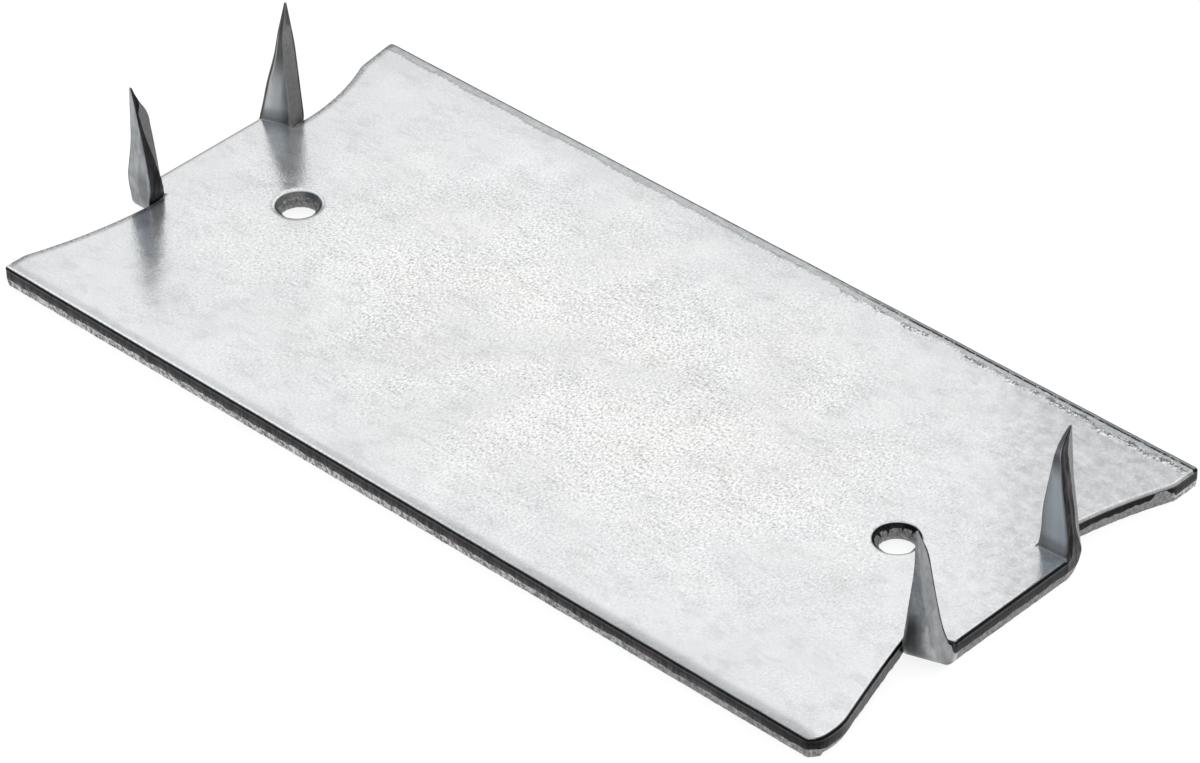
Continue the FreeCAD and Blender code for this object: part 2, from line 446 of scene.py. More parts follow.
def prong_section(prong, end, lance, inner, tear_end, tear_lance, end_torn, lance_torn, rough, seed, rise):
    """One section of a prong: rows of (u, q, smooth, torn) for its two edges, q from the inner face out.

    The rise goes from 0 at the plate to 1 above the fold."""
    width = lance - end
    thick = fold_outer_r - inner
    roll = min(mix(rollover, prong_roll, rise), width * roll_of_width, thick * roll_of_thickness)
    roll_along = roll / math.cos(prong.skew)
    tear_end = min(tear_end, width * lean_of_width)
    tear_lance = min(tear_lance, width * lean_of_width)
    end_line = fold_outer_r - min(end_torn, thick * torn_of_thickness)
    end_line = max(end_line, inner + roll + 3 * band_gap)
    lance_line = inner + min(lance_torn, thick * torn_of_thickness)
    lance_round = min(lance_corner, width * corner_of_size, thick * corner_of_size)
    smooth, torn = column_masks(mix(fold_burnish, prong_burnish, rise))
    end_column = []
    for i in range(column_size):
        if i <= roll_strips:
            turn = math.pi / 2 * i / roll_strips
            u = end + roll_along * (1 - math.sin(turn))
            q = inner + roll * (1 - math.cos(turn))
        elif torn[i] == 0:
            share = (i - roll_strips - 1) / (smooth_strips - 1)
            u = end + rough * burnish_rough * (1 + wave(seed * 1.5, share, 0, 11))
            q = mix(inner + roll + band_gap, end_line - band_gap, share)
        else:
            share = (i - roll_strips - 1 - smooth_strips) / torn_strips
            tooth = max(tear_bias + wave(seed * 2.2, share * 2, 0, 12), 0) * (share < 1)
            u = end + tear_end * share + rough * tooth
            q = mix(end_line + band_gap, fold_outer_r, share)
        end_column.append((u, q, smooth[i], torn[i] * prong.end_finish))
    lance_column = []
    for i in range(column_size):
        if i <= torn_strips:
            share = i / torn_strips
            tooth = max(tear_bias + wave(seed * 2.2, share * 2, 5, 13), 0) * (i > 0)
            u = lance - tear_lance * (1 - share) - rough * tooth
            q = mix(inner, lance_line - band_gap, share)
            lance_column.append((u, q, 0.0, 1.0))
        elif i <= torn_strips + smooth_strips:
            share = (i - torn_strips - 1) / (smooth_strips - 1)
            u = lance - rough * burnish_rough * (1 + wave(seed * 1.5, share, 9, 14))
            q = mix(lance_line + band_gap, fold_outer_r - lance_round - band_gap, share)
            lance_column.append((u, q, 1.0, 0.0))
        else:
            turn = math.pi / 2 * (i - torn_strips - smooth_strips - 1) / roll_strips
            u = lance - lance_round * (1 - math.cos(turn))
            q = fold_outer_r - lance_round * (1 - math.sin(turn))
            lance_column.append((u, q, 0.0, 0.0))
    return end_column, lance_column


def section_loop(prong, end_column, lance_column, place, share):
    """Adds one closed loop of a prong and returns its four rows of points."""
    def put(u, q, smooth, torn, inner=0.0, prong_shade=0.0):
        return skin.add(place(u, q), smooth, torn, share, inner, prong_shade)

    end_row = [put(*item, float(i == 0)) for i, item in enumerate(end_column)]
    lance_row = [put(*item, float(i == 0)) for i, item in enumerate(lance_column)]
    inner_row = []
    outer_row = []
    for i in range(1, face_strips):
        part = i / face_strips
        u = mix(end_column[0][0], lance_column[0][0], part)
        q = mix(end_column[0][1], lance_column[0][1], part)
        # Painted shade on the inner faces, by height and towards the ridge
        shade = smoothstep(prong.shade_from, prong.shade_to, place(u, q).z)
        ridge = prong.ridge * smoothstep(0.4, 0.95, part)
        inner_row.append(put(u, q, 0.0, 0.0, 1.0, prong.inner_shade * max(shade, ridge)))
        # Painted shade and painted dark reflection on the outer faces, strongest by the lance edge
        outer_row.append(put(mix(lance_column[-1][0], end_column[-1][0], part),
                             mix(lance_column[-1][1], end_column[-1][1], part), 0.0, 0.0, 0.0,
                             prong.prong_shade * (1 - smoothstep(0.3, 0.95, part))))
    return end_row, lance_row, inner_row, outer_row


def prong_sections(prong):
    """Sections round the fold and up the prong, with where their points go and their finish's share."""
    fold_tear = fold_tear_share * prong_tear
    for step in range(bend_steps + 1):
        turn = math.pi / 2 * step / bend_steps
        share = step / bend_steps
        sides = prong_section(
            prong, mix(0, prong.fold_in, share), prong.fold_root, fold_inner_r,
            mix(end_tear, fold_tear, share), mix(slit_lean, prong.lance_lean, smoothstep(0, 1, share)),
            mix(torn_height, prong.bend_torn * sheet, smoothstep(0.0, 0.6, share)),
            mix(torn_height, prong.lance_torn_low * sheet, share),
            tear_rough * smoothstep(0, 0.4, share), share, share)

        def bent(u, q):
            return prong.at(u, q * math.sin(turn), fold_outer_r - q * math.cos(turn))

        yield sides, bent, smoothstep(0.0, 0.3, share)
    steps = round((tip_height - fold_outer_r) / rise_step)
    for step in range(1, steps + 1):
        height = mix(fold_outer_r, tip_height, step / steps)
        end, lance, inner = prong.sizes(height)
        thick = fold_outer_r - inner
        rise = smoothstep(fold_outer_r, tip_height - prong.bevel, height)
        taper = smoothstep(tip_height, tip_height - tip_taper, height)
        above_bend = smoothstep(fold_outer_r, fold_outer_r + bend_blend, height)
        end_torn = mix(prong.bend_torn, prong.end_torn, above_bend)
        lance_torn = mix(prong.lance_torn_low, prong.lance_torn_high, rise)
        by_tip = smoothstep(tip_height - tip_band_from, tip_height - tip_band_to, height)
        lance_torn = mix(lance_torn, tip_torn, by_tip)
        sides = prong_section(
            prong, end, lance, inner, mix(fold_tear, prong_tear, min(height - fold_outer_r, 1)),
            prong.lance_lean, end_torn * thick, lance_torn * thick, tear_rough * taper, height, 1.0)

        def upright(u, q):
            return prong.at(u, q, height)

        yield sides, upright, 1.0


def prong_mesh(prong):
    """The skin of one prong; returns the rows of its first loop, which the plate shares."""
    first = None
    last = None
    for sides, place, share in prong_sections(prong):
        rows = section_loop(prong, *sides, place, share)
        end_row, lance_row, inner_row, outer_row = rows
        loop = inner_row + lance_row + outer_row + end_row[::-1]
        if last:
            skin.bridge(last, loop, closed=True)
        first = first or rows
        last = loop
    middle = sum((skin.points[i] for i in last), Vector()) / len(last)
    tip = skin.add(middle, 0.0, 0.0, 1.0)
    for i, j in zip(last, last[1:] + last[:1]):
        skin.faces.append((i, j, tip))
    return first


def line_run(start, end):
    """Points from the start up to, but not on, the end."""
    count = max(1, round((end - start).length / edge_step))
    return [start.lerp(end, i / count) for i in range(count)]


def arc_run(start, end, bow, towards, least):
    """Points of an arc up to, but not on, its end; its middle stands off the chord by the bow."""
    chord = end - start
    normal = Vector((-chord.y, chord.x, 0)).normalized()
    if normal.dot(towards) < 0:
        normal = -normal
    radius = (chord.length ** 2 / 4 + bow ** 2) / (2 * bow)
    centre = (start + end) / 2 + normal * (bow - radius)
    sweep = 2 * math.asin(chord.length / 2 / radius)
    count = max(least, round(radius * sweep / edge_step))
    arm = start - centre
    sign = 1 if arm.cross(end - centre).z > 0 else -1
    return [centre + Matrix.Rotation(sign * sweep * i / count, 3, "Z") @ arm for i in range(count)]


def softened(points, middle, passes):
    """The points with the corner at the middle one rounded by passes of averaging."""
    for _ in range(passes):
        smoothed = list(points)
        for i in range(max(1, middle - passes), min(len(points) - 1, middle + passes + 1)):
            smoothed[i] = (points[i - 1] + points[i] * 2 + points[i + 1]) / 4
        points = smoothed
    return points


def corner_path(prong):
    """The edge from the long side round the corner and along the lance cut to the slit.

    Each place has the lean and the height of its torn band."""
    corner = prong.on_plate(0, 0)
    along_side = (prong.on_plate(0, half_length) - corner).normalized()
    cut_start = prong.on_plate(prong.cut_start, prong.set_back)
    along_end = (cut_start - corner).normalized()
    half_angle = along_side.angle(along_end) / 2
    reach = prong.corner / math.tan(half_angle)
    start = corner + along_side * reach
    end = corner + along_end * reach
    bow = prong.corner * (1 - math.sin(half_angle))
    slit_end = prong.slit_end()
    inwards = Vector((-prong.side_x, 0, 0))
    turn = arc_run(start, end, bow, corner, least=8)
    stub = line_run(end, cut_start)
    cut = arc_run(cut_start, slit_end, prong.cut_bow, inwards, least=4) + [slit_end]
    tears = [(side_tear, torn_height)] * len(turn)
    tears += [(prong.stub_lean, prong.stub_torn)] * len(stub)
    tears += [(lance_tear, prong.cut_torn)] * len(cut)
    return list(zip(softened(turn + stub + cut, len(turn + stub), prong.soften), tears))


def plate_edge():
    """The whole edge, anticlockwise: places with their tear, or a prong's shared row of points."""
    paths = {prong: corner_path(prong) for prong in (front_right, back_right, back_left, front_left)}
    for prong, path in paths.items():
        cut_routes[prong] = [p for p, _ in path[route_skips:]]
    shared = {prong: prong_mesh(prong) for prong in paths}
    side = (side_tear, torn_height)
    end = (end_tear, torn_height)
    edge = []
    for before, first, second in ((front_left, front_right, back_right), (back_right, back_left, front_left)):
        edge += [(p, side, None) for p in line_run(paths[before][0][0], paths[first][0][0])[1:]]
        edge += [(p, tear, None) for p, tear in paths[first]]
        edge.append((first.at(first.fold_root, 0, 0), side, (first, "root")))
        edge.append((first.at(0, 0, 0), side, (first, "end")))
        edge += [(p, end, None) for p in line_run(first.at(0, 0, 0), second.at(0, 0, 0))[1:]]
        edge.append((second.at(0, 0, 0), side, (second, "end")))
        edge.append((second.at(second.fold_root, 0, 0), side, (second, "root")))
        edge += [(p, tear, None) for p, tear in reversed(paths[second])]
    return edge, shared


def edge_columns(edge, shared):
    """Columns of points down the edge, and places in rows beside it for the upper face."""
    columns = []
    near_edge = []
    for i, (point, tear, owner) in enumerate(edge):
        if owner:
            end_row, lance_row, _, _ = shared[owner[0]]
            columns.append(end_row if owner[1] == "end" else lance_row)
            continue
        before = (point - edge[i - 1][0]).normalized()
        after = (edge[(i + 1) % len(edge)][0] - point).normalized()
        left = Vector((-before.y, before.x, 0)) + Vector((-after.y, after.x, 0))
        inward = left / (1 + before.dot(after))
        columns.append(plate_column(point, inward, *tear))
        near_edge += [(point + inward * away).to_2d() for away in rows_in_strip]
    for prong in shared:
        for step in range(round(prong.fold_root / edge_step) + 2):
            near_edge += [prong.at(step * edge_step, -away, 0).to_2d() for away in rows_in_strip]
    return columns, near_edge


def plate_walls(edge, columns, shared):
    """Faces of the sheared edges; returns the rings that bound the upper and the lower face."""
    upper = []
    lower = []
    for i, (_, _, owner) in enumerate(edge):
        following = edge[(i + 1) % len(edge)][2]
        upper.append(columns[i][0])
        lower.append(columns[i][-1])
        if owner and following and owner[0] is following[0]:
            _, _, inner_row, outer_row = shared[owner[0]]
            if owner[1] == "end":
                upper += inner_row
                lower += outer_row[::-1]
            else:
                upper += inner_row[::-1]
                lower += outer_row
            continue
        skin.bridge(columns[i], columns[(i + 1) % len(edge)])
    return upper, lower


def hole_radius(depth):
    """The nail hole's radius at a depth: a drawn-in mouth, a bore and a torn cone."""
    for (low, first), (high, last) in zip(hole_mouth, hole_mouth[1:]):
        if depth <= high:
            return mix(first, last, (depth - low) / (high - low))
    share = (depth - hole_tear_depth) / (sheet - hole_tear_depth)
    return mix(hole_bore_r, hole_breakout_r, share ** 3)


def nail_hole(side_x):
    """A hole's drawn-in mouth, toothed dark band and torn wall; returns its two rings."""
    centre_x = side_x * (half_length - hole_from_end)
    burnish = right_hole_burnish if side_x > 0 else left_hole_burnish
    last_smooth = hole_smooth_rings - 1
    last_torn = hole_torn_rings - 1
    rings = []
    for i in range(hole_columns):
        turn = 2 * math.pi * i / hole_columns
        way = Vector((math.cos(turn), math.sin(turn), 0))
        teeth = max(wave(way.x * 9, way.y * 9, side_x, 22) - hole_tooth_gap, 0)
        line = hole_band_line + hole_line_wave * wave(way.x * 1.5, way.y * 1.5, side_x, 21)
        line += hole_teeth * teeth
        ring = []

        def put(radius, depth, smooth, torn):
            ring.append(skin.add((centre_x + way.x * radius, way.y * radius, sheet - depth), smooth, torn))

        for depth, _ in hole_mouth[:hole_zinc_rings]:
            put(hole_radius(depth), depth, 0.0, 0.0)
        for k in range(hole_smooth_rings):
            depth = mix(hole_band_top, line - band_gap, k / last_smooth)
            put(hole_radius(depth), depth, burnish, 0.0)
        for k in range(hole_torn_rings):
            depth = mix(line + band_gap, sheet, k / last_torn)
            tooth = max(hole_tear_bias + wave(way.x * 5, way.y * 5, depth * 3, 23), 0) * (k < last_torn)
            put(hole_radius(depth) + tear_rough * tooth, depth, 0.0, 1.0)
        rings.append(ring)
    for i in range(hole_columns):
        skin.bridge(rings[i], rings[(i + 1) % hole_columns])
    return [ring[0] for ring in rings], [ring[-1] for ring in rings]


def inside(point, ring):
    """Whether a point lies inside a closed ring of points."""
    hit = False
    for a, b in zip(ring, ring[1:] + ring[:1]):
        if (a.y > point.y) != (b.y > point.y):
            if point.x < a.x + (point.y - a.y) / (b.y - a.y) * (b.x - a.x):
                hit = not hit
    return hit


def fill(outer, holes, extra, surface, painted_light):
    """Triangles of a flat face between its rings, over extra points inside it.

    Each extra point has the distance that it keeps from the rings. The surface and the
    painted light are functions of a place."""
    known = outer + [i for hole in holes for i in hole]
    flat = [skin.points[i].to_2d() for i in known]
    tree = kdtree.KDTree(len(flat))
    for i, p in enumerate(flat):
        tree.insert(p.to_3d(), i)
    tree.balance()
    ring = [skin.points[i].to_2d() for i in outer]
    centres = [Vector((s * (half_length - hole_from_end), 0)) for s in (-1, 1)]
    on_hole = skin.points[holes[0][0]].to_2d()
    hole_r = min((on_hole - c).length for c in centres)
    for p, clear in extra:
        if tree.find(p.to_3d())[2] < clear or min((p - c).length for c in centres) < hole_r:
            continue
        if inside(p, ring):
            known.append(skin.add((p.x, p.y, surface(p.x, p.y)), painted_light=painted_light(p.x, p.y)))
            flat.append(p)
    edges = []
    start = 0
    for loop in [outer] + holes:
        edges += [(start + i, start + (i + 1) % len(loop)) for i in range(len(loop))]
        start += len(loop)
    _, _, faces, origin, _, _ = geometry.delaunay_2d_cdt(flat, edges, [], 1, merge_gap)
    rims = [set(hole) for hole in holes]
    for face in faces:
        corners = [known[origin[i][0]] for i in face]
        if not any(rim.issuperset(corners) for rim in rims):
            skin.faces.append(corners)


def grid(step_x, step_y):
    """Points of a staggered grid over the whole plate."""
    points = []
    for row in range(int(plate_width / step_y) + 1):
        y = -half_width + (row + 0.5) * step_y
        for column in range(int(plate_length / step_x) + 1):
            x = -half_length + (column + 0.25 + 0.5 * (row % 2)) * step_x
            points.append(Vector((x, y)))
    return points


def build_skin():
    """The whole closed mesh, in metres, with the shares that its finish goes by."""
    edge, shared = plate_edge()
    columns, near_edge = edge_columns(edge, shared)
    upper, lower = plate_walls(edge, columns, shared)
    mouths = []
    breakouts = []
    for side_x in (-1, 1):
        mouth, under = nail_hole(side_x)
        mouths.append(mouth)
        breakouts.append(under)
    extra = [(p, strip_clear) for p in near_edge]
    extra += [(p, upper_clear) for p in grid(*upper_grid)]
    # The upper face gets painted shade beside the left end's lance cuts
    fill(upper, mouths, extra, upper_face, cut_painted_shade)
    fill(lower, breakouts, [(p, lower_clear) for p in grid(*lower_grid)], level, level)
    mesh = bpy.data.meshes.new("protector_sheet")
    mesh.from_pydata([p * METRE for p in skin.points], [], skin.faces)
    for name, values in skin.finish.items():
        layer = mesh.attributes.new(name, "FLOAT", "POINT")
        layer.data.foreach_set("value", values)
    mesh.update()
    return mesh


def face_outwards(mesh):
    """Turns all faces outwards and shades them smooth, apart from sharp edges."""
    work = bmesh.new()
    work.from_mesh(mesh)
    bmesh.ops.recalc_face_normals(work, faces=work.faces)
    work.to_mesh(mesh)
    work.free()
    mesh.shade_smooth()
    mesh.set_sharp_from_angle(angle=math.radians(sharp_angle))


# Colours of the zinc: its body, its grain, the strip along the far side, and the edges, among them painted
# shade, glints and highlights
zinc_cool = (0.748, 0.758, 0.768, 1)
zinc_warm = (0.815, 0.806, 0.788, 1)
grain_pale = (0.97, 0.97, 0.96, 1)
grain_dark = (0.36, 0.36, 0.36, 1)
# The far strip's grey is painted shade, its pale specks painted glints and its dark rim a painted dark
# reflection
strip_shade_grey = (0.33, 0.345, 0.35, 1)
strip_line = (0.27, 0.28, 0.28, 1)
speck_glint = (0.97, 0.98, 0.98, 1)
speck_dark = (0.08, 0.085, 0.085, 1)
broken_dark = (0.09, 0.1, 0.1, 1)
score_black = (0.015, 0.016, 0.016, 1)
rim_reflection_dark = (0.1, 0.1, 0.105, 1)
# A grey band of painted shade beside the near side
near_shade_grey = (0.3, 0.31, 0.315, 1)
# Painted highlight and painted shade where the zinc bends over an edge
edge_highlight_pale = (0.97, 0.975, 0.975, 1)
edge_shade_grey = (0.14, 0.145, 0.145, 1)

# Colours of the prongs' faces, the outer ones dark as a painted reflection with black for painted shade, and
# of the smooth and torn bands
outer_dark = (0.3, 0.315, 0.33, 1)
outer_pale = (0.46, 0.47, 0.475, 1)
shade_black = (0.05, 0.053, 0.055, 1)
inner_dark = (0.74, 0.755, 0.76, 1)
inner_pale = (0.87, 0.875, 0.875, 1)
# The smooth band's near-black is a painted dark reflection
burnish_black = (0.009, 0.008, 0.0085, 1)
burnish_grey = (0.06, 0.054, 0.058, 1)
ragged_dark = (0.13, 0.122, 0.122, 1)
ragged_pale = (0.86, 0.85, 0.84, 1)
torn_dark = (0.15, 0.146, 0.145, 1)
torn_pale = (0.39, 0.386, 0.382, 1)

# Gloss, metal and relief of the finishes, the zinc's gloss as a span of roughness
zinc_gloss = (0.17, 0.25)
prong_gloss = 0.34
burnish_gloss = 0.3
torn_gloss = 0.5
zinc_metallic = 0.8
torn_metallic = 0.5
zinc_relief = 6e-6
torn_relief = 2e-5


class Graph:
    """Short ways to make a material's nodes."""

    def __init__(self, tree):
        self.tree = tree

    def make(self, kind, inputs, **settings):
        node = self.tree.nodes.new(kind)
        for name, value in settings.items():
            setattr(node, name, value)
        for name, value in inputs.items():
            if isinstance(value, bpy.types.NodeSocket):
                self.tree.links.new(value, node.inputs[name])
            else:
                node.inputs[name].default_value = value
        return node

    def math(self, operation, first, *others):
        for other in others:
            first = self.make("ShaderNodeMath", {0: first, 1: other}, operation=operation).outputs[0]
        return first

    def plus(self, *values):
        return self.math("ADD", *values)

    def minus(self, first, second):
        return self.math("SUBTRACT", first, second)

    def times(self, *values):
        return self.math("MULTIPLY", *values)

    def larger(self, *values):
        return self.math("MAXIMUM", *values)

    def distance(self, first, second):
        return self.math("ABSOLUTE", self.minus(first, second), 0)

    def axes(self, vector):
        return self.make("ShaderNodeSeparateXYZ", {0: vector}).outputs

    def span(self, value, low, high, to_low=0, to_high=1):
        inputs = {"Value": value, "From Min": low, "From Max": high, "To Min": to_low, "To Max": to_high}
        return self.make("ShaderNodeMapRange", inputs, interpolation_type="SMOOTHSTEP").outputs[0]

    def mix_value(self, share, first, last):
        return self.make("ShaderNodeMix", {0: share, 2: first, 3: last}, data_type="FLOAT").outputs[0]

    def paint(self, colour, over, *shares, blend="MIX"):
        """A colour with another over it, as far as the product of the shares says."""
        inputs = {0: self.times(*shares), 6: colour, 7: over}
        return self.make("ShaderNodeMix", inputs, data_type="RGBA", blend_type=blend).outputs[2]

    def scaled(self, colour, factor):
        grey = self.make("ShaderNodeCombineColor", {0: factor, 1: factor, 2: factor}).outputs[0]
        return self.paint(colour, grey, 1.0, blend="MULTIPLY")

    def stretch(self, vector, scale):
        return self.make("ShaderNodeMapping", {"Vector": vector, "Scale": scale}).outputs[0]

    def noise(self, vector, scale, detail, rough, distortion=0.0):
        inputs = {"Vector": vector, "Scale": scale, "Detail": detail, "Roughness": rough,
                  "Distortion": distortion}
        return self.make("ShaderNodeTexNoise", inputs).outputs[0]

    def attribute(self, name):
        return self.make("ShaderNodeAttribute", {}, attribute_name=name).outputs["Fac"]


class ZincCoat(Graph):
    """The zinc of the flat faces, painted in layers by places in millimetres."""

    def __init__(self, tree, place, grain, patches):
        super().__init__(tree)
        self.place = place
        self.grain = grain
        self.patches = patches
        self.along, self.across, _ = self.axes(place)
        self.to_corner = self.plus(self.along, self.times(self.across, 0.8))
        oval = self.stretch(place, (0.026, 0.05, 0))
        self.from_middle = self.make("ShaderNodeVectorMath", {0: oval}, operation="LENGTH").outputs["Value"]
        self.rough_end = self.span(self.along, -12, 24, 0.12, 1)
        self.ragged = self.times(self.minus(grain, 0.5), self.mix_value(self.rough_end, 0.5, 1.1))
        streaky = self.noise(self.stretch(place, (2.2, 5, 1)), 1.0, 2, 0.6)
        self.flecks = self.span(streaky, 0.35, 0.65, 0.38, 0.66)

    def colour(self):
        return self.edges(self.far_side(self.grained(self.clouded())))

    def clouded(self):
        """The zinc's body: clouded and warmer in the middle, darker by the far side, with painted shade at
        the back right, near side and left end.
        """
        middle = self.span(self.from_middle, 0.25, 1.15, 1, 0)
        clouds = self.noise(self.place, 0.13, 3, 0.55, 0.3)
        tint = self.noise(self.stretch(self.place, (0.8, 1.2, 1)), 0.2, 3, 0.55, 0.5)
        warm = self.plus(self.times(middle, 0.6), self.span(tint, 0.3, 0.7, 0, 0.4))
        # Painted shade along the near side, deeper towards the right
        near_shade = self.span(self.along, -20, 25, 0.84, 0.6)
        tone = self.plus(
            self.span(clouds, 0.25, 0.75, 0.92, 1.0), self.span(self.patches, 0.2, 0.8, -0.06, 0.06),
            self.times(middle, -0.01))
        # Painted shade towards the back right corner, along the near side and in a line at the left end;
        # darker towards the far side and the left end
        tone = self.times(
            tone, self.span(self.to_corner, 33, 43, 1.0, 0.77), self.span(self.across, 15, 18.6, 1.0, 0.92),
            self.span(self.across, -18.9, -17.8, near_shade, 1.0),
            self.span(self.along, -38.0, -37.5, 0.74, 1.0), self.span(self.along, -37, -24, 0.96, 1.0))
        wisps = self.noise(self.stretch(self.place, (0.5, 0.9, 1)), 1.0, 5, 0.6, 0.5)
        blotches = self.span(self.noise(self.place, 1.2, 4, 0.65, 0.3), 0.3, 0.7, -0.1, 0.1)
        blotches = self.times(blotches, self.span(self.to_corner, 28, 40))
        tone = self.plus(tone, self.span(wisps, 0.5, 0.66, 0, -0.08), blotches)
        return self.scaled(self.paint(zinc_cool, zinc_warm, warm), tone)

    def grained(self, colour):
        """Dark and bright grain, strongest round the plate's middle."""
        field = self.span(self.noise(self.place, 0.15, 2, 0.5), 0.35, 0.6, 0.4, 0.95)
        field = self.times(field, self.span(self.from_middle, 0.35, 1.1, 1, 0.2))
        field = self.larger(field, self.span(self.to_corner, 30, 40, 0, 0.12))
        contrast = self.times(self.minus(self.grain, 0.5), self.times(field, -2.0))
        colour = self.scaled(colour, self.plus(contrast, 1.0))
        colour = self.paint(colour, grain_pale, self.span(self.grain, 0.42, 0.3, 0, 0.9), field)
        return self.paint(colour, grain_dark, self.span(self.grain, 0.58, 0.72, 0, 0.6), field)

    def far_side(self, colour):
        """The far side's strip: flecks of painted shade, a specked inner line with painted glints, a scored
        line and a painted dark rim.
        """
        depth = self.plus(self.attribute("far_strip"), self.ragged)
        # Painted shade: the falling strip greyed in flecks
        colour = self.paint(colour, strip_shade_grey, self.span(depth, -0.05, 0.2), self.flecks)
        inner_line = self.span(self.distance(depth, 0.1), 0.02, 0.16, 0.55, 0)
        colour = self.paint(colour, strip_line, inner_line)

        broken = self.span(self.noise(self.place, 0.9, 2, 0.6), 0.4, 0.6, 0.05, 1)
        broken = self.times(broken, self.rough_end)
        by_line = self.times(self.span(self.distance(depth, -0.05), 0.1, 0.5, 1, 0), broken)
        specks = self.noise(self.stretch(self.place, (4.0, 6.5, 1)), 1.0, 2, 0.6)
        # Painted glints along the strip's inner line, then dark specks
        colour = self.paint(colour, speck_glint, self.span(specks, 0.49, 0.37, 0, 0.95), by_line)
        colour = self.paint(colour, speck_dark, self.span(specks, 0.52, 0.64, 0, 0.9), by_line)
        line = self.span(self.distance(depth, 0), 0.03, 0.15, 0.9, 0)
        colour = self.paint(colour, broken_dark, line, broken)

        wavering = self.plus(self.across, self.times(self.ragged, 0.1))
        score = self.span(self.distance(wavering, 18.62), 0.06, 0.15, 1, 0)
        past_middle = self.span(self.along, 2, 14)
        gaps = self.span(specks, 0.36, 0.46, 0.25, 1)
        colour = self.paint(colour, score_black, score, past_middle, gaps)
        # Painted dark reflection along the outer rim
        past_rim = self.minus(self.across, self.mix_value(self.rough_end, 18.78, 18.66))
        past_rim = self.plus(past_rim, self.times(self.ragged, 0.25))
        rim = self.span(past_rim, 0, 0.1, 0, self.mix_value(self.rough_end, 0.95, 0.45))
        return self.paint(colour, rim_reflection_dark, rim, self.span(self.flecks, 0.42, 0.6, 0.7, 1))

    def edges(self, colour):
        """A grey band of painted shade beside the near side, and a painted highlight or painted shade where
        the zinc bends over an edge.
        """
        wavering = self.plus(self.across, self.times(self.ragged, 0.6))
        # Painted shade: a grey band beside the near side
        colour = self.paint(colour, near_shade_grey, self.span(wavering, -18.35, -18.15, 0.3, 0), self.flecks)
        # Painted highlight where the edge light is above 0, painted shade where it is below
        painted_light = self.times(self.attribute("painted_edge_light"), self.span(self.grain, 0.35, 0.65, 0.9, 0.35))
        colour = self.paint(colour, edge_highlight_pale, painted_light)
        return self.paint(colour, edge_shade_grey, painted_light, -1.3)


def prong_zinc(graph, place, height):
    """The prongs' zinc: dull and streaked, outer faces darker as a painted reflection, and painted shade in
    places.
    """
    # The prong shade share holds painted shade and painted dark reflection
    prong_shade = graph.attribute("prong_shade")
    streaks = graph.noise(graph.stretch(place, (2.2, 2.2, 0.25)), 1.0, 3, 0.6)
    streaks = graph.span(streaks, 0.3, 0.7)
    # The outer faces' darker zinc is a painted dark reflection
    outer = graph.paint(outer_dark, outer_pale, streaks)
    blotches = graph.noise(graph.stretch(place, (1.3, 1.3, 0.8)), 1.0, 4, 0.65, 0.4)
    outer = graph.scaled(outer, graph.span(blotches, 0.35, 0.65, 0.72, 1.08))
    # Painted shade: black low on the outer faces by the lance edge
    outer = graph.paint(outer, shade_black, prong_shade, graph.span(height, 3.0, 5.5, 1, 0))
    # Painted shade along the fold's underside
    outer = graph.scaled(outer, graph.span(height, 0.05, 0.8, 0.35, 1.0))
    inner = graph.paint(inner_dark, inner_pale, streaks)
    # Painted shade in the crease at the foot of the inner faces
    inner = graph.scaled(inner, graph.span(height, 1.8, 3.0, 0.38, 1.0))
    # Painted shade up high and along the ridge of the inner faces
    inner = graph.scaled(inner, graph.minus(1.0, prong_shade))
    return graph.paint(outer, inner, graph.attribute("prong_inner"))


def smooth_band(graph, place, prong):
    """The smooth band of the sheared edges: a painted dark reflection, blackest near the upper face and at
    the right end.
    """
    along, _, height = graph.axes(place)
    scores = graph.noise(graph.stretch(place, (4, 4, 0.5)), 1.0, 2, 0.5)
    colour = graph.paint(burnish_black, burnish_grey, graph.span(scores, 0.3, 0.75))
    # Painted dark reflection: blacker near the upper face and at the right end
    tone = graph.times(graph.span(height, 0.7, 1.2, 1.6, 0.35), graph.span(along, 30, 36, 1, 0.35))
    return graph.scaled(colour, graph.mix_value(prong, tone, 1.2))


def torn_band(graph, place, prong, fracture):
    """The torn band: ragged and pale along the sides, duller at the ends and on the prongs."""
    along, across, _ = graph.axes(place)
    ragged = graph.paint(ragged_dark, ragged_pale, graph.span(fracture, 0.36, 0.66))
    tone = graph.mix_value(graph.times(prong, 0.7), graph.span(fracture, 0.3, 0.7), 0.4)
    dull = graph.paint(torn_dark, torn_pale, tone)
    long_side = graph.span(graph.distance(across, 0), 18.2, 18.8)
    long_side = graph.times(long_side, graph.span(along, 0, 30, 1, 0.2))
    long_side = graph.larger(long_side, graph.span(across, 16.3, 16.8))
    return graph.paint(dull, ragged, long_side)


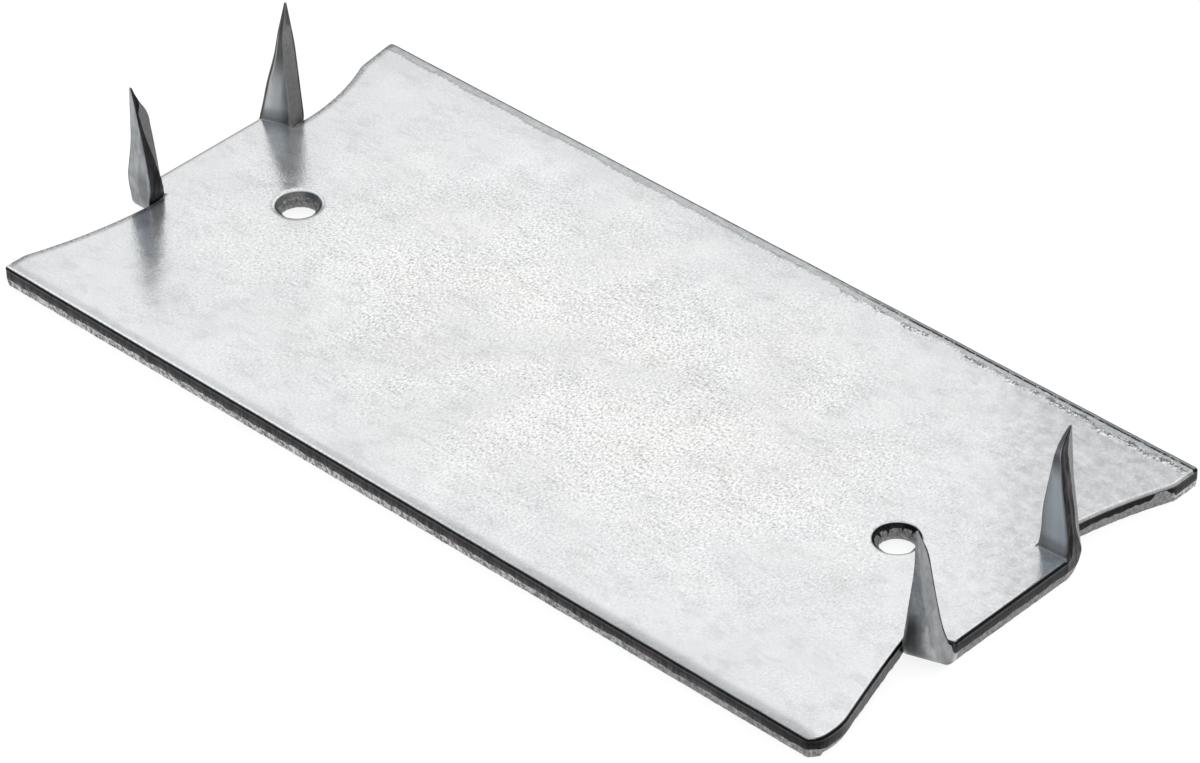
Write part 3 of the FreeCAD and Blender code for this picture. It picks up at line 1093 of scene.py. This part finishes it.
def galvanised_steel():
    """The finish of the whole sheet, by the shares that the mesh holds."""
    material = bpy.data.materials.new("galvanised_steel")
    material.use_nodes = True
    tree = material.node_tree
    graph = Graph(tree)
    shader = tree.nodes["Principled BSDF"]
    place = graph.make("ShaderNodeTexCoord", {}).outputs["Object"]
    place = graph.stretch(place, (1 / METRE, 1 / METRE, 1 / METRE))
    height = graph.axes(place)[2]
    smooth = graph.attribute("smooth_cut")
    torn = graph.attribute("torn_cut")
    prong = graph.attribute("prong")
    grain = graph.noise(graph.stretch(place, (6.4, 4.2, 5.0)), 1.0, 2, 0.6, 0.3)
    patches = graph.noise(place, 0.42, 4, 0.6, 0.7)
    fracture = graph.noise(graph.stretch(place, (4.5, 4.5, 3.0)), 1.0, 3, 0.7)

    colour = ZincCoat(tree, place, grain, patches).colour()
    colour = graph.paint(colour, prong_zinc(graph, place, height), prong)
    colour = graph.paint(colour, smooth_band(graph, place, prong), smooth)
    colour = graph.paint(colour, torn_band(graph, place, prong, fracture), torn)
    tree.links.new(colour, shader.inputs["Base Color"])
    tree.links.new(graph.mix_value(torn, zinc_metallic, torn_metallic), shader.inputs["Metallic"])

    rough = graph.span(patches, 0.25, 0.75, *zinc_gloss)
    rough = graph.mix_value(prong, rough, prong_gloss)
    rough = graph.mix_value(smooth, rough, burnish_gloss)
    rough = graph.mix_value(torn, rough, torn_gloss)
    tree.links.new(rough, shader.inputs["Roughness"])

    relief = graph.mix_value(torn, graph.plus(grain, graph.times(patches, 3.0)), fracture)
    depth = graph.mix_value(torn, zinc_relief, torn_relief)
    bump = graph.make("ShaderNodeBump", {"Strength": 1.0, "Distance": depth, "Height": relief})
    tree.links.new(bump.outputs[0], shader.inputs["Normal"])
    return material


def add_object(name, data):
    """A new object in the scene."""
    item = bpy.data.objects.new(name, data)
    bpy.context.scene.collection.objects.link(item)
    return item


sheet_mesh = build_skin()
face_outwards(sheet_mesh)
plate = add_object("protector_sheet", sheet_mesh)
sheet_mesh.materials.append(galvanised_steel())
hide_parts("protector_plate")
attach(plate, "root")

# Camera, solved from the photo
azimuth = math.radians(44.56)
elevation = math.radians(36.95)
roll = math.radians(-1.47)
distance = 394.0
target = Vector((0.61, 0.73, 0.0))
focal_px = 5772.0
image_width_px = 1200
turn = Matrix.Rotation(azimuth, 4, "Z") @ Matrix.Rotation(math.pi / 2 - elevation, 4, "X")
turn = turn @ Matrix.Rotation(roll, 4, "Z")
camera_data = bpy.data.cameras.new("camera")
camera_data.sensor_fit = "HORIZONTAL"
camera_data.sensor_width = 36.0
camera_data.lens = camera_data.sensor_width * focal_px / image_width_px
camera_data.clip_start = 0.01
camera = add_object("camera", camera_data)
step_back = Matrix.Translation((0, 0, distance * METRE))
camera.matrix_world = Matrix.Translation(target * METRE) @ turn @ step_back
bpy.context.scene.camera = camera

# Studio, in metres: lamps, sky and floor
lamp_distance = 1.2
sky_pale = (0.72, 0.73, 0.74, 1)
sky_dark = (0.23, 0.3, 0.37, 1)
sky_horizon = (0.45, 0.455, 0.46, 1)
sky_dark_way = (-0.45, -0.62, 0.64)
floor_half = 3
floor_drop = 0.00002
floor_white = (0.93, 0.93, 0.93, 1)
floor_shaded = (0.3, 0.3, 0.3, 1)
floor_glow = 0.84


def area_light(name, way, size, radiance):
    """A rectangular lamp that looks at the plate from a direction, with a given radiance."""
    data = bpy.data.lights.new(name, "AREA")
    data.shape = "RECTANGLE"
    data.size, data.size_y = size
    data.energy = radiance * math.pi * size[0] * size[1]
    lamp = add_object(name, data)
    way = Vector(way).normalized()
    lamp.location = way * lamp_distance
    lamp.rotation_mode = "QUATERNION"
    lamp.rotation_quaternion = way.to_track_quat("Z", "Y")


def studio_world():
    """Pale grey, darker in front and along the horizon, so that prongs and rounded edges read."""
    world = bpy.data.worlds.new("studio")
    bpy.context.scene.world = world
    world.use_nodes = True
    graph = Graph(world.node_tree)
    way = graph.make("ShaderNodeTexCoord", {}).outputs["Generated"]
    inputs = {0: way, 1: tuple(Vector(sky_dark_way).normalized())}
    towards = graph.make("ShaderNodeVectorMath", inputs, operation="DOT_PRODUCT").outputs["Value"]
    up = graph.axes(way)[2]
    colour = graph.paint(sky_pale, sky_dark, graph.span(towards, 0.74, 0.93))
    colour = graph.paint(colour, sky_horizon, graph.span(up, 0.22, 0.42, 1, 0))
    world.node_tree.links.new(colour, world.node_tree.nodes["Background"].inputs["Color"])


def studio_floor():
    """A floor that glows to white where it is seen or mirrored, and keeps a light shadow."""
    corners = [(x * floor_half, y * floor_half, 0) for x, y in ((-1, -1), (1, -1), (1, 1), (-1, 1))]
    mesh = bpy.data.meshes.new("floor")
    mesh.from_pydata(corners, [], [(0, 1, 2, 3)])
    floor = add_object("floor", mesh)
    floor.location.z = -floor_drop
    material = bpy.data.materials.new("floor")
    material.use_nodes = True
    tree = material.node_tree
    graph = Graph(tree)
    tree.nodes.remove(tree.nodes["Principled BSDF"])
    lit = graph.make("ShaderNodeBsdfDiffuse", {"Color": floor_white}).outputs[0]
    faint = graph.make("ShaderNodeBsdfDiffuse", {"Color": floor_shaded}).outputs[0]
    glow = graph.make("ShaderNodeEmission", {"Color": (1, 1, 1, 1), "Strength": floor_glow}).outputs[0]
    seen = graph.make("ShaderNodeAddShader", {0: faint, 1: glow}).outputs[0]
    path = graph.make("ShaderNodeLightPath", {}).outputs
    direct = graph.larger(path["Is Camera Ray"], path["Is Glossy Ray"], path["Is Transmission Ray"])
    surface = graph.make("ShaderNodeMixShader", {0: direct, 1: lit, 2: seen}).outputs[0]
    tree.links.new(surface, tree.nodes["Material Output"].inputs["Surface"])
    mesh.materials.append(material)


area_light("main_softbox", way=(-0.561, 0.569, 0.84), size=(1.7, 0.9), radiance=0.46)
area_light("overhead_softbox", way=(0.1, -0.1, 1.0), size=(1.3, 1.3), radiance=0.3)
studio_world()
studio_floor()
bpy.context.scene.view_settings.view_transform = "Standard"
